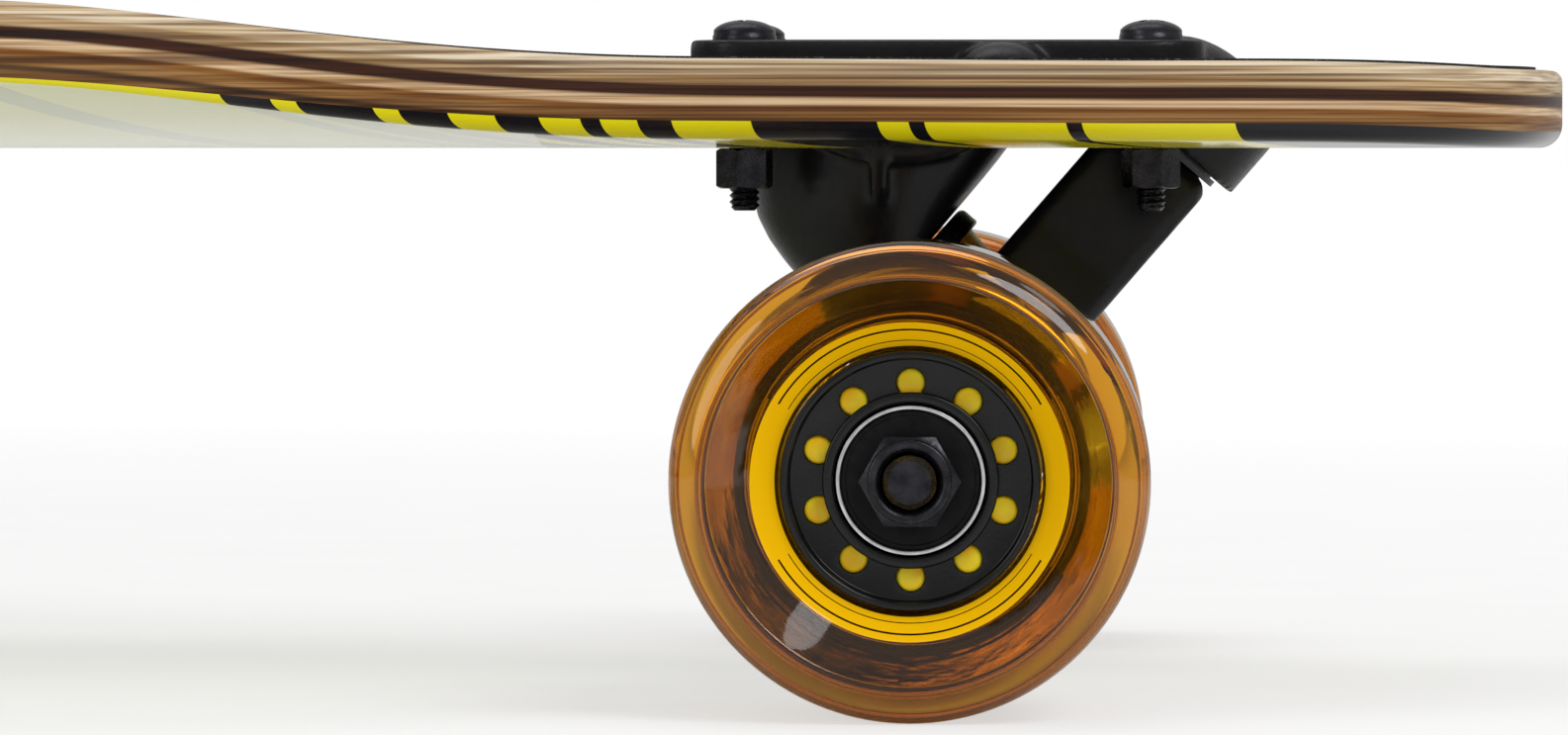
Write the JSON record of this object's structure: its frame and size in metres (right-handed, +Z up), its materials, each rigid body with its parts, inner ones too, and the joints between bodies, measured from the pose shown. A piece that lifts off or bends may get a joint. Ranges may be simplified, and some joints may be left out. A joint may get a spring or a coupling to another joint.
{
  "type": "longboard skateboard",
  "caption": "Drop-through longboard with a flared concave deck, reverse-kingpin steering trucks and wide soft wheels that roll on ball bearings.",
  "frame": {"origin": "on the ground, below the middle of the deck", "axes": "+X towards the nose, +Y towards the rider's left when facing the nose, +Z up"},
  "size_m": [1.04, 0.2572, 0.1052],
  "materials": {
    "maple": "clear-lacquered maple ply with a bright printed underside",
    "grip_tape": "coarse black abrasive sheet",
    "black_casting": "black semi-gloss coating",
    "bright_steel": "zinc plated",
    "black_steel": "black oxide",
    "amber_urethane": "translucent glossy cast urethane",
    "bushing_urethane": "translucent satin urethane",
    "cup_urethane": "satin",
    "core_plastic": "moulded satin black"
  },
  "bodies": {
    "board": {"deck": "maple", "grip_tape": "grip_tape", "front_baseplate": "black_casting", "front_pivot_cup": "cup_urethane", "front_kingpin": "bright_steel", "front_kingpin_nut": "bright_steel", "front_boardside_washer": "black_steel", "front_roadside_washer": "black_steel", "front_boardside_bushing": "bushing_urethane", "front_roadside_bushing": "bushing_urethane", "front_mounting_bolt_1": "black_steel", "front_mounting_bolt_2": "black_steel", "front_mounting_bolt_3": "black_steel", "front_mounting_bolt_4": "black_steel", "rear_baseplate": "black_casting", "rear_pivot_cup": "cup_urethane", "rear_kingpin": "bright_steel", "rear_kingpin_nut": "bright_steel", "rear_boardside_washer": "black_steel", "rear_roadside_washer": "black_steel", "rear_boardside_bushing": "bushing_urethane", "rear_roadside_bushing": "bushing_urethane", "rear_mounting_bolt_1": "black_steel", "rear_mounting_bolt_2": "black_steel", "rear_mounting_bolt_3": "black_steel", "rear_mounting_bolt_4": "black_steel"},
    "front_hanger": {"front_hanger": "black_casting", "front_axle": "black_steel", "front_left_spacer": "bright_steel", "front_left_speed_washer": "bright_steel", "front_left_axle_nut": "black_steel", "front_right_spacer": "bright_steel", "front_right_speed_washer": "bright_steel", "front_right_axle_nut": "black_steel"},
    "rear_hanger": {"rear_hanger": "black_casting", "rear_axle": "black_steel", "rear_left_spacer": "bright_steel", "rear_left_speed_washer": "bright_steel", "rear_left_axle_nut": "black_steel", "rear_right_spacer": "bright_steel", "rear_right_speed_washer": "bright_steel", "rear_right_axle_nut": "black_steel"},
    "front_left_wheel": {"front_left_tyre": "amber_urethane", "front_left_core": "core_plastic", "front_left_outer_bearing": "bright_steel", "front_left_inner_bearing": "bright_steel"},
    "front_right_wheel": {"front_right_tyre": "amber_urethane", "front_right_core": "core_plastic", "front_right_outer_bearing": "bright_steel", "front_right_inner_bearing": "bright_steel"},
    "rear_left_wheel": {"rear_left_tyre": "amber_urethane", "rear_left_core": "core_plastic", "rear_left_outer_bearing": "bright_steel", "rear_left_inner_bearing": "bright_steel"},
    "rear_right_wheel": {"rear_right_tyre": "amber_urethane", "rear_right_core": "core_plastic", "rear_right_outer_bearing": "bright_steel", "rear_right_inner_bearing": "bright_steel"}
  },
  "joints": [
    {"name": "rear_truck_steer", "type": "hinge", "parent": "board", "child": "rear_hanger", "pos_m": [-0.4172, 0, 0.037], "axis": [-0.6561, 0, 0.7547], "range_deg": [-15, 15], "stiffness_Nm_per_rad": 80, "deforming": ["rear_boardside_bushing", "rear_roadside_bushing"]},
    {"name": "front_truck_steer", "type": "hinge", "parent": "board", "child": "front_hanger", "pos_m": [0.4172, 0, 0.037], "axis": [0.6561, 0, 0.7547], "range_deg": [-15, 15], "stiffness_Nm_per_rad": 80, "deforming": ["front_boardside_bushing", "front_roadside_bushing"]},
    {"name": "front_left_wheel_spin", "type": "hinge", "parent": "front_hanger", "child": "front_left_wheel", "pos_m": [0.4195, 0.1031, 0.035], "axis": [0, 1, 0], "continuous": true},
    {"name": "front_right_wheel_spin", "type": "hinge", "parent": "front_hanger", "child": "front_right_wheel", "pos_m": [0.4195, -0.1031, 0.035], "axis": [0, 1, 0], "continuous": true},
    {"name": "rear_left_wheel_spin", "type": "hinge", "parent": "rear_hanger", "child": "rear_left_wheel", "pos_m": [-0.4195, 0.1031, 0.035], "axis": [0, 1, 0], "continuous": true},
    {"name": "rear_right_wheel_spin", "type": "hinge", "parent": "rear_hanger", "child": "rear_right_wheel", "pos_m": [-0.4195, -0.1031, 0.035], "axis": [0, 1, 0], "continuous": true}
  ]
}
